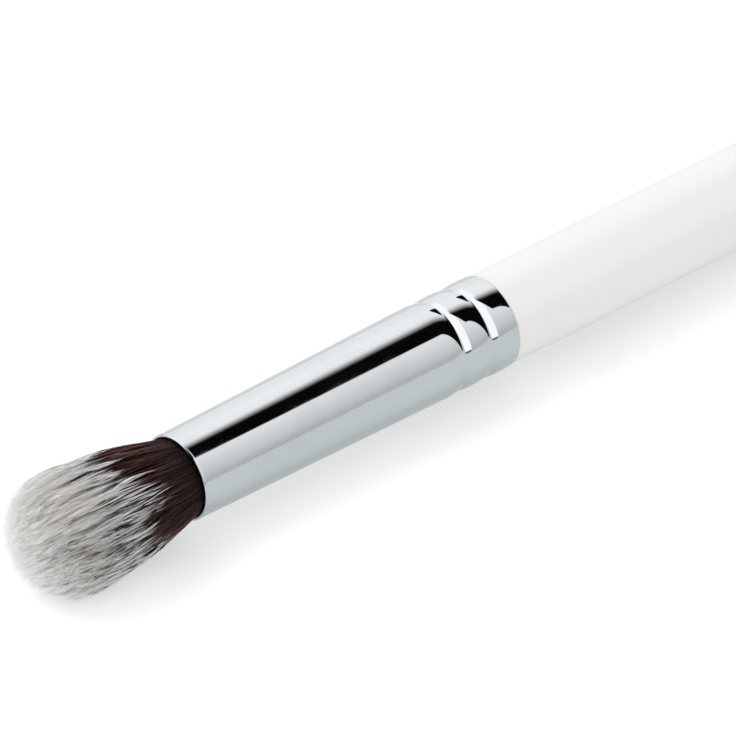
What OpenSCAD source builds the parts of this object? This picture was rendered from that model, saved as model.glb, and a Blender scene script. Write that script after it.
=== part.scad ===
// A tapered blending brush for eyeshadow, lying on its side.
// The axis of the brush runs along X, from the tuft to the handle, and Z is up.
// The origin is below the middle of the brush, on the surface that it lies on.

/* [Tuft] */
// Length of the tuft that stands out of the ferrule
tuft_l = 15.7; // [13:0.1:19]
// Diameter of the tuft where it is fullest
tuft_d = 10; // [8.5:0.1:12]
// Depth of the bristle roots inside the ferrule
root_depth = 9; // [7:0.5:11]
// Rings of strands from the middle of the tuft outwards
strand_rings = 8; // [8:1:9]

/* [Root binding] */
// Thickness of the slice of resin that the roots are set in
slice_h = 1; // [0.6:0.1:1.5]
// Diameter of the thread that is wound round the roots
thread_d = 0.2; // [0.14:0.01:0.26]
// Turns of the thread
thread_turns = 4; // [2:1:6]
// Open space between one turn and the next
thread_space = 0.45; // [0.42:0.01:0.6]

/* [Ferrule] */
// Length of the ferrule
ferrule_l = 31; // [28:0.5:36]
// Outer diameter at the mouth, where the tuft comes out
mouth_d = 7; // [6.4:0.1:7.8]
// Outer diameter at the handle end, between the grooves
rear_d = 7.66; // [7:0.02:8.4]
// Thickness of the ferrule's wall
ferrule_wall = 0.3; // [0.2:0.02:0.4]
// Distance from the handle end to the middle of the nearer groove
groove_end_l = 2.6; // [2:0.1:3.4]
// Distance between the middles of the two grooves
groove_pitch = 2.7; // [2.2:0.1:3.4]
// Depth of a groove
groove_depth = 0.13; // [0.06:0.01:0.3]
// How far the handle end is turned in
end_turn = 0.1; // [0.05:0.01:0.3]
// Length over which the handle end is turned in
end_turn_l = 0.3; // [0.2:0.05:1]

/* [Handle] */
// Length of the handle outside the ferrule
handle_l = 130; // [110:1:150]
// Largest diameter of the handle, all along its grip
handle_d = 7.6; // [7.5:0.1:9]
// Length over which the handle swells from the ferrule to its grip
swell_l = 12; // [8:1:30]
// Length of the grip, where the handle's sides are parallel
grip_l = 40; // [20:1:55]
// Diameter of the handle's tail, where its round end begins
tail_d = 4.6; // [3.6:0.1:6]
// Length of the tenon that is glued into the ferrule
tenon_l = 12; // [9:0.5:14]
// Chamfer at the tip of the tenon
tenon_chamfer = 0.6; // [0.2:0.1:1]
// Round on the edge of the handle's shoulder
shoulder_round = 0.12; // [0.05:0.01:0.2]

/* [Fits] */
// Gap between pieces that are bonded or packed together
fit_gap = 0.03; // [0.02:0.01:0.04]
// Thickness of the glue round the tenon where it is thinnest
glue_h = 0.12; // [0.09:0.01:0.2]
// Room left between the root plug and the tenon
plug_space = 0.6; // [0.3:0.1:1.2]

/* [Hidden] */
$fn = 96;

// Steps along the curved stretches of an outline
round_steps = 8;
groove_steps = 14;
// How sharply a groove's flank steepens towards its bottom: 1 is straight
groove_power = 2.5;
long_steps = 16;

// The three stretches of the part along its axis
total_l = tuft_l + ferrule_l + handle_l;
mouth_x = tuft_l - total_l / 2;

// Ferrule: heights along its axis are counted from the mouth towards the handle
mouth_r = mouth_d / 2;
rear_r = rear_d / 2;
groove_half = groove_pitch / 2;
groove_places = [ferrule_l - groove_end_l - groove_pitch, ferrule_l - groove_end_l];
cone_l = groove_places[0] - groove_half;
turn_start = ferrule_l - end_turn_l;

// Root of the tuft, inside the ferrule
slice_back = root_depth + slice_h;
root_r = ferrule_inner_r(root_depth) - thread_d - 3 * fit_gap;
mouth_tuft_r = mouth_r - ferrule_wall - fit_gap;

// Tuft: a flare, then a half ball
belly_r = tuft_d / 2;
dome_height = tuft_l - belly_r;
dome_inset_share = 0.12;
end_tries = 4;
length_spread_share = 0.045;
length_seed = 7;
// Heights of a strand's rings as shares of its length, and its thickness there as shares of its room
ring_height_shares = [0, 0.42, 0.84];
ring_width_shares = [0.9, 0.8, 0.66];
strand_sides = 3;
sectors = 6;

// Thread
thread_r = thread_d / 2;
thread_pitch = thread_d + thread_space;
thread_rings = 16;
thread_sides = 6;
thread_last = slice_back - fit_gap - thread_r;

// Handle
handle_r = handle_d / 2;
tail_r = tail_d / 2;
shoulder_r = rear_r - end_turn;
tenon_r = rear_r - ferrule_wall - max(groove_depth, end_turn) - glue_h;
tenon_start = ferrule_l - tenon_l;
grip_start = ferrule_l + swell_l;
taper_start = grip_start + grip_l;
taper_l = handle_l - swell_l - grip_l - tail_r;
plug_end = tenon_start - plug_space;

// The outline of the ferrule: a cone up to the grooves, then a straight wall with two rolled grooves.
// A groove is a V at its bottom, and its flanks ease out on to the rounded bands beside it.
function groove_dip(height, place) =
    let (away = abs(height - place))
    away < groove_half ? groove_depth * pow(1 - away / groove_half, groove_power) : 0;

function ferrule_outer_r(height) =
    mouth_r + (rear_r - mouth_r) * min(height / cone_l, 1)
    - groove_dip(height, groove_places[0]) - groove_dip(height, groove_places[1]);

function ferrule_inner_r(height) = ferrule_outer_r(height) - ferrule_wall;

// Heights at which the grooved stretch of the ferrule takes its points, from its start to the turned end
function groove_heights() = [
    for (place = groove_places, step = [0 : groove_steps - 1])
        place - groove_half + groove_pitch * step / groove_steps
];

// Points [radius, height] of the turned end, for a wall that lies inset from the outer one
function turned_end(inset) = [
    for (step = [0 : round_steps])
        let (angle = 90 * step / round_steps)
        [rear_r - inset - end_turn * (1 - cos(angle)), turn_start + end_turn_l * sin(angle)]
];

// Points of the ferrule's wall from a height to its handle end, for a wall that lies inset from the outer one
function grooved_wall(inset) = concat(
    [for (height = groove_heights()) [ferrule_outer_r(height) - inset, height]],
    [[rear_r - inset, groove_places[1] + groove_half]],
    turned_end(inset)
);

function reversed(list) = [for (i = [len(list) - 1 : -1 : 0]) list[i]];

// Places the brush's own axis, with its mouth at zero, along X
module along_brush() {
    translate([mouth_x, 0, axis_z]) rotate([0, 90, 0]) children();
}

// The lattice that the strands stand on: a disc of triangles in rings, with six sectors.
// A corner is named by its ring and its place in the ring.
function lattice_point(corner) =
    corner[0] == 0
        ? [0, 0]
        : let (angle = 360 * corner[1] / (sectors * corner[0]))
          corner[0] / strand_rings * [cos(angle), sin(angle)];

function lattice_index(corner) =
    corner[0] == 0
        ? 0
        : 1 + sectors * corner[0] * (corner[0] - 1) / 2 + corner[1] % (sectors * corner[0]);

// The corners of each triangle, one strand to a triangle
function lattice_cells() = [
    for (ring = [1 : strand_rings], sector = [0 : sectors - 1])
        each concat(
            [
                for (i = [0 : ring - 1])
                    [[ring - 1, sector * (ring - 1) + i], [ring, sector * ring + i], [ring, sector * ring + i + 1]]
            ],
            [
                for (i = [0 : 1 : ring - 2])
                    [
                        [ring - 1, sector * (ring - 1) + i],
                        [ring, sector * ring + i + 1],
                        [ring - 1, sector * (ring - 1) + i + 1]
                    ]
            ]
        )
];

// Radius of the tuft's outer strands at a height above the mouth
function tuft_r(height) =
    height < dome_height
        ? mouth_tuft_r + (belly_r - mouth_tuft_r) * sin(90 * height / dome_height)
        : belly_r * (1 - dome_inset_share * pow((height - dome_height) / belly_r, 2));

// Height at which a strand meets the dome, from its distance to the axis as a share of the tuft's radius
function strand_height(share, height, tries) =
    tries == 0
        ? height
        : strand_height(
            share,
            dome_height + sqrt(max(0, pow(belly_r, 2) - pow(share * tuft_r(height), 2))),
            tries - 1
        );

// How far out the outermost strands' corners lie on the disc, from their thickness as a share of their room
function rim_share(width) =
    let (
        corners = [for (corner = [[strand_rings - 1, 0], [strand_rings, 0], [strand_rings, 1]]) lattice_point(corner)],
        middle = (corners[0] + corners[1] + corners[2]) / strand_sides
    )
    norm(middle + width * (corners[1] - middle));

// The points of one strand above the slice: its rings of corners and its tip
function strand_points(cell, spread) =
    let (
        corners = [for (corner = cell) lattice_point(corner)],
        middle = (corners[0] + corners[1] + corners[2]) / strand_sides,
        reach = (1 - length_spread_share * spread) * strand_height(norm(middle), dome_height, end_tries)
    )
    concat(
        [
            for (i = [0 : len(ring_height_shares) - 1], corner = corners)
                let (
                    height = reach * ring_height_shares[i],
                    width = ring_width_shares[i],
                    place = (middle + width * (corner - middle)) * tuft_r(height) / rim_share(width)
                )
                [place[0], place[1], -height]
        ],
        [[middle[0] * tuft_r(reach), middle[1] * tuft_r(reach), -reach]]
    );

// Two triangles between one ring's side and the next one's
function side_faces(low_a, low_b, high_a, high_b) = [[low_a, low_b, high_b], [low_a, high_b, high_a]];

// The faces of one strand, from the lattice corners that it stands on to its tip
function strand_faces(cell, first) =
    let (
        rings = len(ring_height_shares),
        base = [for (corner = cell) rim_count + lattice_index(corner)],
        tip = first + rings * strand_sides
    )
    [
        for (side = [0 : strand_sides - 1])
            let (next = (side + 1) % strand_sides)
            each concat(
                side_faces(base[side], base[next], first + side, first + next),
                [
                    for (ring = [1 : rings - 1])
                        let (low = first + (ring - 1) * strand_sides, high = low + strand_sides)
                        each side_faces(low + side, low + next, high + side, high + next)
                ],
                [[tip - strand_sides + side, tip - strand_sides + next, tip]]
            )
    ];

cells = lattice_cells();
rim_count = sectors * strand_rings;
lattice_count = 1 + sectors * strand_rings * (strand_rings + 1) / 2;
strand_size = strand_sides * len(ring_height_shares) + 1;
length_spreads = rands(0, 1, len(cells), length_seed);

// Points of the tuft, with the axis along Z and the mouth at zero: the slice's back, its front, the strands
slice_points = concat(
    [
        for (i = [0 : rim_count - 1])
            let (place = root_r * lattice_point([strand_rings, i]))
            [place[0], place[1], slice_back]
    ],
    [[0, 0, root_depth]],
    [
        for (ring = [1 : strand_rings], i = [0 : sectors * ring - 1])
            let (place = root_r * lattice_point([ring, i]))
            [place[0], place[1], root_depth]
    ]
);
all_strand_points = [for (i = [0 : len(cells) - 1]) each strand_points(cells[i], length_spreads[i])];

// The brush's axis lies as high as its lowest strand hangs below it. Turned along X, Z becomes the first axis.
axis_z = max([for (point = all_strand_points) point[0]]);

// The tuft: strands that flare out of the mouth and end on a dome, one solid with the slice that holds them
module bristles() {
    slice_faces = [
        for (i = [0 : rim_count - 1])
            let (next = (i + 1) % rim_count, rim = rim_count + lattice_index([strand_rings, 0]))
            each side_faces(i, next, rim + i, rim + next)
    ];
    back_faces = [for (i = [1 : rim_count - 2]) [0, i + 1, i]];
    strands = [
        for (i = [0 : len(cells) - 1])
            each strand_faces(cells[i], rim_count + lattice_count + i * strand_size)
    ];
    color("gainsboro")
    along_brush()
    polyhedron(points = concat(slice_points, all_strand_points), faces = concat(back_faces, slice_faces, strands));
}

// The thread's middle line: a helix on the bound roots, from the root plug towards the mouth
thread_line = [
    for (i = [0 : thread_turns * thread_rings])
        let (
            angle = 360 * i / thread_rings,
            height = thread_last - thread_pitch * i / thread_rings,
            bound = mouth_tuft_r + (root_r - mouth_tuft_r) * min(height / root_depth, 1),
            radius = bound + fit_gap + thread_r
        )
        [radius * cos(angle), radius * sin(angle), height]
];
thread_gap = min([
    for (i = [0 : len(thread_line) - 1], j = [i + thread_rings / 2 : 1 : len(thread_line) - 1])
        norm(thread_line[i] - thread_line[j]) - thread_d
]);
echo("Least gap of the binding thread to itself", thread_gap);

// The thread that binds the roots, one unbroken tube
module binding_thread() {
    points = [
        for (i = [0 : len(thread_line) - 1], side = [0 : thread_sides - 1])
            let (
                turn = 360 * i / thread_rings,
                around = 360 * side / thread_sides,
                out = thread_r * cos(around)
            )
            thread_line[i] + [out * cos(turn), out * sin(turn), thread_r * sin(around)]
    ];
    last = len(points) - thread_sides;
    walls = [
        for (i = [0 : len(thread_line) - 2], side = [0 : thread_sides - 1])
            let (low = i * thread_sides, high = low + thread_sides, next = (side + 1) % thread_sides)
            each side_faces(low + side, low + next, high + side, high + next)
    ];
    ends = [for (side = [1 : thread_sides - 2]) each [[0, side + 1, side], [last, last + side, last + side + 1]]];
    color("ivory")
    along_brush()
    polyhedron(points = points, faces = concat(walls, ends));
}

// The cured resin that fills the ferrule behind the roots
module root_plug() {
    color("goldenrod")
    along_brush()
    translate([0, 0, slice_back])
    cylinder(
        h = plug_end - slice_back,
        r1 = ferrule_inner_r(slice_back) - fit_gap,
        r2 = ferrule_inner_r(plug_end) - fit_gap
    );
}

// The plated tube: a round lip at the mouth, two rolled grooves, and an end that is turned in to the handle
module ferrule() {
    lip_r = ferrule_wall / 2;
    lip = [
        for (step = [0 : round_steps])
            let (angle = 180 * step / round_steps)
            [mouth_r - lip_r - lip_r * cos(angle), lip_r * (1 - sin(angle))]
    ];
    color("silver")
    along_brush()
    rotate_extrude()
    polygon(concat(lip, grooved_wall(0), reversed(grooved_wall(ferrule_wall))));
}

// The glue between the tenon and the ferrule, pressed into the shape of the grooves
module tenon_adhesive() {
    outside = concat(
        [[ferrule_inner_r(tenon_start) - fit_gap, tenon_start]],
        grooved_wall(ferrule_wall + fit_gap)
    );
    color("khaki")
    along_brush()
    rotate_extrude()
    polygon(concat(
        outside,
        [[tenon_r + fit_gap, ferrule_l], [tenon_r + fit_gap, tenon_start]]
    ));
}

// The turned wooden handle: tenon, shoulder, swell, parallel grip, long taper and round end
module handle() {
    tenon = [
        [0, tenon_start],
        [tenon_r - tenon_chamfer, tenon_start],
        [tenon_r, tenon_start + tenon_chamfer],
        [tenon_r, ferrule_l]
    ];
    shoulder = [
        for (step = [0 : round_steps])
            let (angle = 90 * step / round_steps)
            [shoulder_r - shoulder_round * (1 - sin(angle)), ferrule_l + shoulder_round * (1 - cos(angle))]
    ];
    swell = [
        for (step = [1 : long_steps])
            let (along = step / long_steps)
            [
                shoulder_r + (handle_r - shoulder_r) * sin(90 * along),
                ferrule_l + shoulder_round + (swell_l - shoulder_round) * along
            ]
    ];
    taper = [
        for (step = [0 : long_steps])
            let (along = step / long_steps)
            [tail_r + (handle_r - tail_r) * cos(90 * along), taper_start + taper_l * along]
    ];
    tail = [
        for (step = [1 : round_steps])
            let (angle = 90 * step / round_steps)
            [tail_r * cos(angle), taper_start + taper_l + tail_r * sin(angle)]
    ];
    color("white")
    along_brush()
    rotate_extrude()
    polygon(concat(tenon, shoulder, swell, taper, tail));
}

bristles();
binding_thread();
root_plug();
ferrule();
tenon_adhesive();
handle();
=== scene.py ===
"""Looks of a tapered blending brush for eyeshadow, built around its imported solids.

Every length is in metres. The brush's axis runs along X, from the tuft to the handle.
"""

import logging
import math
import random
from collections.abc import Sequence
from dataclasses import dataclass
from enum import Enum

import bmesh
import bpy
from bmesh.types import BMEdge, BMesh, BMVert
from bpy.types import Material, Node, NodeTree, Object
from bpy.types import NodeSocket as Socket
from mathutils import Matrix, Vector
from mathutils.kdtree import KDTree


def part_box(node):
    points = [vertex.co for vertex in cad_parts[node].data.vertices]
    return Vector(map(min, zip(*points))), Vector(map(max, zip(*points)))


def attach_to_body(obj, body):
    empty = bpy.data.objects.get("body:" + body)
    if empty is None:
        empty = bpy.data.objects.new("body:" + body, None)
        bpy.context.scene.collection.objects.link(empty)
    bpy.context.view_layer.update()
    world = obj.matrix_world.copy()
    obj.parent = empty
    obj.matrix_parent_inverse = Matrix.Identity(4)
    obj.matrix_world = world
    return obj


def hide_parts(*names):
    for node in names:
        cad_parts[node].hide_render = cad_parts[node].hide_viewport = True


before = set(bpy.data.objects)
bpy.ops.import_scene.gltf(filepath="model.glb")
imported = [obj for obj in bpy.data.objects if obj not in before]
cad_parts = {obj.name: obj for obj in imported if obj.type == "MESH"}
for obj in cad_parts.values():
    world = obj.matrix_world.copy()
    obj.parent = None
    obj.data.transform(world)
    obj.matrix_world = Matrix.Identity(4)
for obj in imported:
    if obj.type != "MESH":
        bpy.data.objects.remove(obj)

MM = 0.001
BODY = "root"
MERGE_DISTANCE = 1e-8
SHARP_ANGLE = math.radians(40)
QUARTER_TURN = math.pi / 2
GOLDEN_ANGLE = math.pi * (3 - math.sqrt(5))

log = logging.getLogger("eyeshadow_brush")

Colour = tuple[float, float, float, float]
Triple = tuple[float, float, float]
Point = tuple[float, float]


class Slot(Enum):
    """Material slots of the record."""

    FIBRE = "bristle_fibre"
    THREAD = "thread"
    RESIN = "resin"
    PLATED = "plated_metal"
    LACQUER = "lacquered_wood"


class Layer(Enum):
    """The layers of the tuft, from the middle outwards."""

    CORE = "bristles_core"
    DEEP = "bristles_deep"
    INNER = "bristles_inner"
    MIDDLE = "bristles_middle"
    OUTER = "bristles_outer"
    SKIN = "bristles_skin"


class Mask(Enum):
    """What the shared unevenness puts out."""

    BROAD = "Broad"
    FINE = "Fine"
    SCRATCHES = "Scratches"


@dataclass(frozen=True)
class Change:
    """A value that goes from low to high while another one goes from start to end.

    Attributes:
        start: where the change starts.
        end: where it is complete.
        low: the value before it.
        high: the value after it.
        smooth: True to ease both ends.
    """

    start: float
    end: float
    low: float = 0.0
    high: float = 1.0
    smooth: bool = False


Follow = tuple[Mask, Change]


def smooth_step(value: float) -> float:
    """Returns a value from 0 to 1 eased at both ends."""
    value = min(max(value, 0.0), 1.0)
    return value * value * (3 - 2 * value)


def blend(low: float, high: float, share: float) -> float:
    """Returns the value at a share of the way from low to high."""
    return low + (high - low) * share


def shares(steps: int, first: int = 0) -> list[float]:
    """Returns even shares of a stretch that has so many steps, from a first one up to 1."""
    return [i / steps for i in range(first, steps + 1)]


@dataclass(frozen=True)
class BrushAxis:
    """Where the brush lies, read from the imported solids."""

    mouth_x: float
    ferrule_end_x: float
    tail_x: float
    tuft_x: float
    height: float
    belly_radius: float

    @classmethod
    def from_frame(cls) -> "BrushAxis":
        """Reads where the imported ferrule, handle and bristles lie.

        Returns:
            The axis that they share.
        """
        ferrule_low, ferrule_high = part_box("ferrule")
        bristle_low, bristle_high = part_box("bristles")
        return cls(
            mouth_x=ferrule_low[0],
            ferrule_end_x=ferrule_high[0],
            tail_x=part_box("handle")[1][0],
            tuft_x=bristle_low[0],
            height=(ferrule_low[2] + ferrule_high[2]) / 2,
            belly_radius=(bristle_high[1] - bristle_low[1]) / 2,
        )

    def place(self, along: float, across: float, up: float) -> Vector:
        """Returns the point at a distance along the axis from the mouth, and across and above it."""
        return Vector((self.mouth_x + along, across, self.height + up))


def attach(piece: Object, node: str) -> Object:
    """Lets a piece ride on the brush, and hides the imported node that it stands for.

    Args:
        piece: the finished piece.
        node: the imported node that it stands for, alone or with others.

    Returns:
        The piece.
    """
    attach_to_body(piece, BODY)
    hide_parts(node)
    return piece


def piece_from(bm: BMesh, name: str, *materials: Material) -> Object:
    """Writes a mesh out as a named piece.

    Args:
        bm: the finished mesh, which is freed.
        name: the piece's name.
        materials: its finishes, in the order of the numbers that its faces hold.

    Returns:
        The object, at the origin, with its place in its mesh.
    """
    mesh = bpy.data.meshes.new(name)
    bm.to_mesh(mesh)
    bm.free()
    for material in materials:
        mesh.materials.append(material)
    piece = bpy.data.objects.new(name, mesh)
    bpy.context.scene.collection.objects.link(piece)
    return piece


def shade_smooth(bm: BMesh) -> None:
    """Smooths all faces, and keeps an edge sharp where its two faces meet at a steep angle.

    Args:
        bm: the mesh.
    """
    for face in bm.faces:
        face.smooth = True
    for edge in bm.edges:
        if len(edge.link_faces) == 2:
            edge.smooth = edge.calc_face_angle() < SHARP_ANGLE


def turn(outline: Sequence[Point], axis: BrushAxis, steps: int, closed: bool) -> BMesh:
    """Turns an outline round the brush's axis.

    Args:
        outline: points of distance from the mouth and radius.
        axis: where the brush lies.
        steps: sides of the round.
        closed: True if the last point joins the first, as on a tube.

    Returns:
        The closed mesh, with its faces outwards.
    """
    bm = bmesh.new()
    verts = [bm.verts.new(axis.place(along, 0, radius)) for along, radius in outline]
    edges = [bm.edges.new(pair) for pair in zip(verts, verts[1:], strict=False)]
    if closed:
        edges.append(bm.edges.new((verts[-1], verts[0])))
    bmesh.ops.spin(
        bm,
        geom=verts + edges,
        cent=axis.place(0, 0, 0),
        axis=(1, 0, 0),
        angle=math.tau,
        steps=steps,
        use_merge=True,
        use_duplicate=False,
    )
    bmesh.ops.remove_doubles(bm, verts=bm.verts, dist=MERGE_DISTANCE)
    bmesh.ops.recalc_face_normals(bm, faces=bm.faces)
    shade_smooth(bm)
    return bm


def grow_ring(bm: BMesh, edges: Sequence[BMEdge]) -> tuple[list[BMVert], list[BMEdge]]:
    """Extrudes a ring from each open end of one or more tubes, and leaves it in place.

    Args:
        bm: the mesh.
        edges: the edges round the open ends.

    Returns:
        The new corners, with the numbers that their old ones hold, and the edges round the new ends.
    """
    grown = bmesh.ops.extrude_edge_only(bm, edges=edges)["geom"]
    verts = [item for item in grown if isinstance(item, BMVert)]
    new_edges = [item for item in grown if isinstance(item, BMEdge)]
    return verts, [edge for edge in new_edges if len(edge.link_faces) == 1]


class Shader:
    """Builds a node tree with short calls."""

    NODES_IN_ROW = 8
    NODE_WIDTH = 220
    NODE_HEIGHT = 260

    def __init__(self, tree: NodeTree) -> None:
        """Starts on a tree, and empties it."""
        self.tree = tree
        tree.nodes.clear()

    def feed(self, target: Socket, value: object) -> None:
        """Links an output socket to an input, or sets the input's own value.

        Args:
            target: the input.
            value: an output socket, or a plain value.
        """
        if isinstance(value, Socket):
            self.tree.links.new(value, target)
        else:
            target.default_value = value

    def join(self, node: Node, **inputs: object) -> None:
        """Feeds a node's inputs, with underscores for the spaces in their names."""
        for name, value in inputs.items():
            self.feed(node.inputs[name.replace("_", " ")], value)

    def add(self, kind: str, inputs: dict | None = None, **settings: object) -> Node:
        """Adds a node.

        Args:
            kind: the node's type.
            inputs: values or output sockets for its input sockets, by name or number.
            settings: attributes of the node.

        Returns:
            The node.
        """
        row, column = divmod(len(self.tree.nodes), self.NODES_IN_ROW)
        node = self.tree.nodes.new(kind)
        node.location = (self.NODE_WIDTH * column, -self.NODE_HEIGHT * row)
        for name, value in settings.items():
            setattr(node, name, value)
        for name, value in (inputs or {}).items():
            self.feed(node.inputs[name], value)
        return node

    def coordinates(self, kind: str = "Object") -> Socket:
        """Adds a Texture Coordinate node and returns the coordinates of a kind."""
        return self.add("ShaderNodeTexCoord").outputs[kind]

    def split(self, vector: Socket) -> tuple[Socket, Socket, Socket]:
        """Adds a node that takes a vector apart, and returns its X, Y and Z."""
        return tuple(self.add("ShaderNodeSeparateXYZ", {"Vector": vector}).outputs)

    def maths(self, operation: str, first: object, *others: object) -> Socket:
        """Adds a Math node for one or two values, or a chain of them for more.

        Args:
            operation: what each node does.
            first: the first value or socket.
            others: those that are brought in after it, one by one.

        Returns:
            The last node's output.
        """
        if not others:
            return self.add("ShaderNodeMath", {0: first}, operation=operation).outputs[0]
        for other in others:
            first = self.add("ShaderNodeMath", {0: first, 1: other}, operation=operation).outputs[0]
        return first

    def vectors(self, operation: str, *values: object) -> Socket:
        """Adds a Vector Math node and returns its vector, or its value for a dot product."""
        node = self.add("ShaderNodeVectorMath", dict(enumerate(values)), operation=operation)
        return node.outputs["Value" if operation == "DOT_PRODUCT" else "Vector"]

    def ranged(self, value: Socket, change: Change) -> Socket:
        """Adds a Map Range node.

        Args:
            value: the socket to follow.
            change: how the output follows it.

        Returns:
            The output.
        """
        inputs = {
            "Value": value,
            "From Min": change.start,
            "From Max": change.end,
            "To Min": change.low,
            "To Max": change.high,
        }
        kind = "SMOOTHSTEP" if change.smooth else "LINEAR"
        return self.add("ShaderNodeMapRange", inputs, interpolation_type=kind).outputs["Result"]

    def mixed(self, share: object, first: object, second: object, blend_type: str = "MIX") -> Socket:
        """Adds a mix of two colours.

        Args:
            share: how much of the second one to mix in.
            first: a colour or socket.
            second: a colour or socket.
            blend_type: how the second one is laid over the first.

        Returns:
            The mixed colour.
        """
        node = self.add("ShaderNodeMix", data_type="RGBA", blend_type=blend_type)
        for name, value in (("Factor_Float", share), ("A_Color", first), ("B_Color", second)):
            self.feed(next(socket for socket in node.inputs if socket.identifier == name), value)
        return next(socket for socket in node.outputs if socket.identifier == "Result_Color")


class Effects:
    """Shader groups that several finishes share."""

    def __init__(self) -> None:
        """Builds the groups."""
        self.unevenness = self.build_unevenness()

    @staticmethod
    def build_unevenness() -> NodeTree:
        """Builds a group that puts out a broad mask, a fine mask and fine scratches along the brush.

        Returns:
            The group.
        """
        tree = bpy.data.node_groups.new("surface_unevenness", "ShaderNodeTree")
        for name, default in (("Broad Scale", 200.0), ("Fine Scale", 2000.0), ("Stretch", 8.0)):
            socket = tree.interface.new_socket(name, in_out="INPUT", socket_type="NodeSocketFloat")
            socket.default_value = default
        for mask in Mask:
            tree.interface.new_socket(mask.value, in_out="OUTPUT", socket_type="NodeSocketFloat")
        shader = Shader(tree)
        given = shader.add("NodeGroupInput").outputs
        place = shader.coordinates()
        along, across, up = shader.split(place)
        along = shader.maths("DIVIDE", along, given["Stretch"])
        drawn = shader.add("ShaderNodeCombineXYZ", {"X": along, "Y": across, "Z": up}).outputs["Vector"]
        out = shader.add("NodeGroupOutput")
        for mask, vector, scale, detail in (
            (Mask.BROAD, place, "Broad Scale", 3.0),
            (Mask.FINE, place, "Fine Scale", 4.0),
            (Mask.SCRATCHES, drawn, "Fine Scale", 2.0),
        ):
            inputs = {"Vector": vector, "Scale": given[scale], "Detail": detail}
            noise = shader.add("ShaderNodeTexNoise", inputs)
            shader.feed(out.inputs[mask.value], noise.outputs["Fac"])
        return tree


def new_material(name: str) -> tuple[Material, Shader, Node]:
    """Starts a material.

    Args:
        name: the material's name.

    Returns:
        The material, its builder, and its Principled node, joined to the output.
    """
    material = bpy.data.materials.new(name)
    material.use_nodes = True
    shader = Shader(material.node_tree)
    principled = shader.add("ShaderNodeBsdfPrincipled")
    shader.add("ShaderNodeOutputMaterial", {"Surface": principled.outputs[0]})
    return material, shader, principled


@dataclass(frozen=True)
class UnevenFinish:
    """A finish whose colour, gloss and small bumps follow the shared unevenness.

    Attributes:
        name: the material's name.
        scales: the unevenness's broad scale, fine scale and stretch along the brush.
        colours: the colours at the low and the high end of the tint.
        tint: the mask that the colour follows, and how.
        rough: the mask that the roughness follows, and how.
        bumps: the mask that raises the bumps, how far they turn the light, and their depth.
        scratched: the roughness that scratches add, if any.
        metallic: 1 for metal.
        sheen: the share of light that loose hairs scatter.
    """

    name: str
    scales: Triple
    colours: tuple[Colour, Colour]
    tint: Follow
    rough: Follow
    bumps: tuple[Mask, float, float]
    scratched: Change | None = None
    metallic: float = 0.0
    sheen: float = 0.0

    def material(self, effects: Effects) -> Material:
        """Builds the material.

        Args:
            effects: the shared shader groups.

        Returns:
            The material.
        """
        material, shader, principled = new_material(self.name)
        group = shader.add("ShaderNodeGroup", dict(enumerate(self.scales)), node_tree=effects.unevenness)
        masks = {mask: group.outputs[mask.value] for mask in Mask}
        tint_mask, tint = self.tint
        rough_mask, rough = self.rough
        roughness = shader.ranged(masks[rough_mask], rough)
        if self.scratched:
            roughness = shader.maths("ADD", shader.ranged(masks[Mask.SCRATCHES], self.scratched), roughness)
        bump_mask, strength, depth = self.bumps
        inputs = {"Height": masks[bump_mask], "Strength": strength, "Distance": depth}
        bump = shader.add("ShaderNodeBump", inputs)
        shader.join(
            principled,
            Base_Color=shader.mixed(shader.ranged(masks[tint_mask], tint), *self.colours),
            Metallic=self.metallic,
            Roughness=roughness,
            Normal=bump.outputs["Normal"],
            Sheen_Weight=self.sheen,
        )
        return material


@dataclass(frozen=True)
class PlatedFinish(UnevenFinish):
    """Bright plating, polished, with faint drawn lines and handling haze."""

    name: str = "bright_plating"
    scales: Triple = (260.0, 5200.0, 14.0)
    colours: tuple[Colour, Colour] = ((0.58, 0.602, 0.615, 1), (0.56, 0.58, 0.593, 1))
    tint: Follow = (Mask.BROAD, Change(0.45, 0.7, smooth=True))
    rough: Follow = (Mask.BROAD, Change(0.45, 0.7, 0.025, 0.05, smooth=True))
    bumps: tuple[Mask, float, float] = (Mask.SCRATCHES, 0.05, 0.01 * MM)
    scratched: Change | None = Change(0.35, 0.75, 0.0, 0.02)
    metallic: float = 1.0


@dataclass(frozen=True)
class LacquerFinish(UnevenFinish):
    """White lacquer with a soft gloss over turned wood, a little thinner in places."""

    name: str = "white_lacquer"
    scales: Triple = (60.0, 350.0, 3.0)
    colours: tuple[Colour, Colour] = ((0.79, 0.79, 0.785, 1), (0.775, 0.775, 0.77, 1))
    tint: Follow = (Mask.BROAD, Change(0.2, 0.8, smooth=True))
    rough: Follow = (Mask.FINE, Change(0.2, 0.8, 0.3, 0.36))
    bumps: tuple[Mask, float, float] = (Mask.BROAD, 0.1, 0.02 * MM)


@dataclass(frozen=True)
class WoodFinish(UnevenFinish):
    """Bare pale hardwood with its grain along the brush, as on the tenon inside the ferrule."""

    name: str = "bare_wood"
    scales: Triple = (400.0, 1600.0, 18.0)
    colours: tuple[Colour, Colour] = ((0.62, 0.45, 0.28, 1), (0.45, 0.3, 0.17, 1))
    tint: Follow = (Mask.SCRATCHES, Change(0.35, 0.65, smooth=True))
    rough: Follow = (Mask.SCRATCHES, Change(0.35, 0.65, 0.55, 0.7, smooth=True))
    bumps: tuple[Mask, float, float] = (Mask.SCRATCHES, 0.4, 0.05 * MM)


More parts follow.
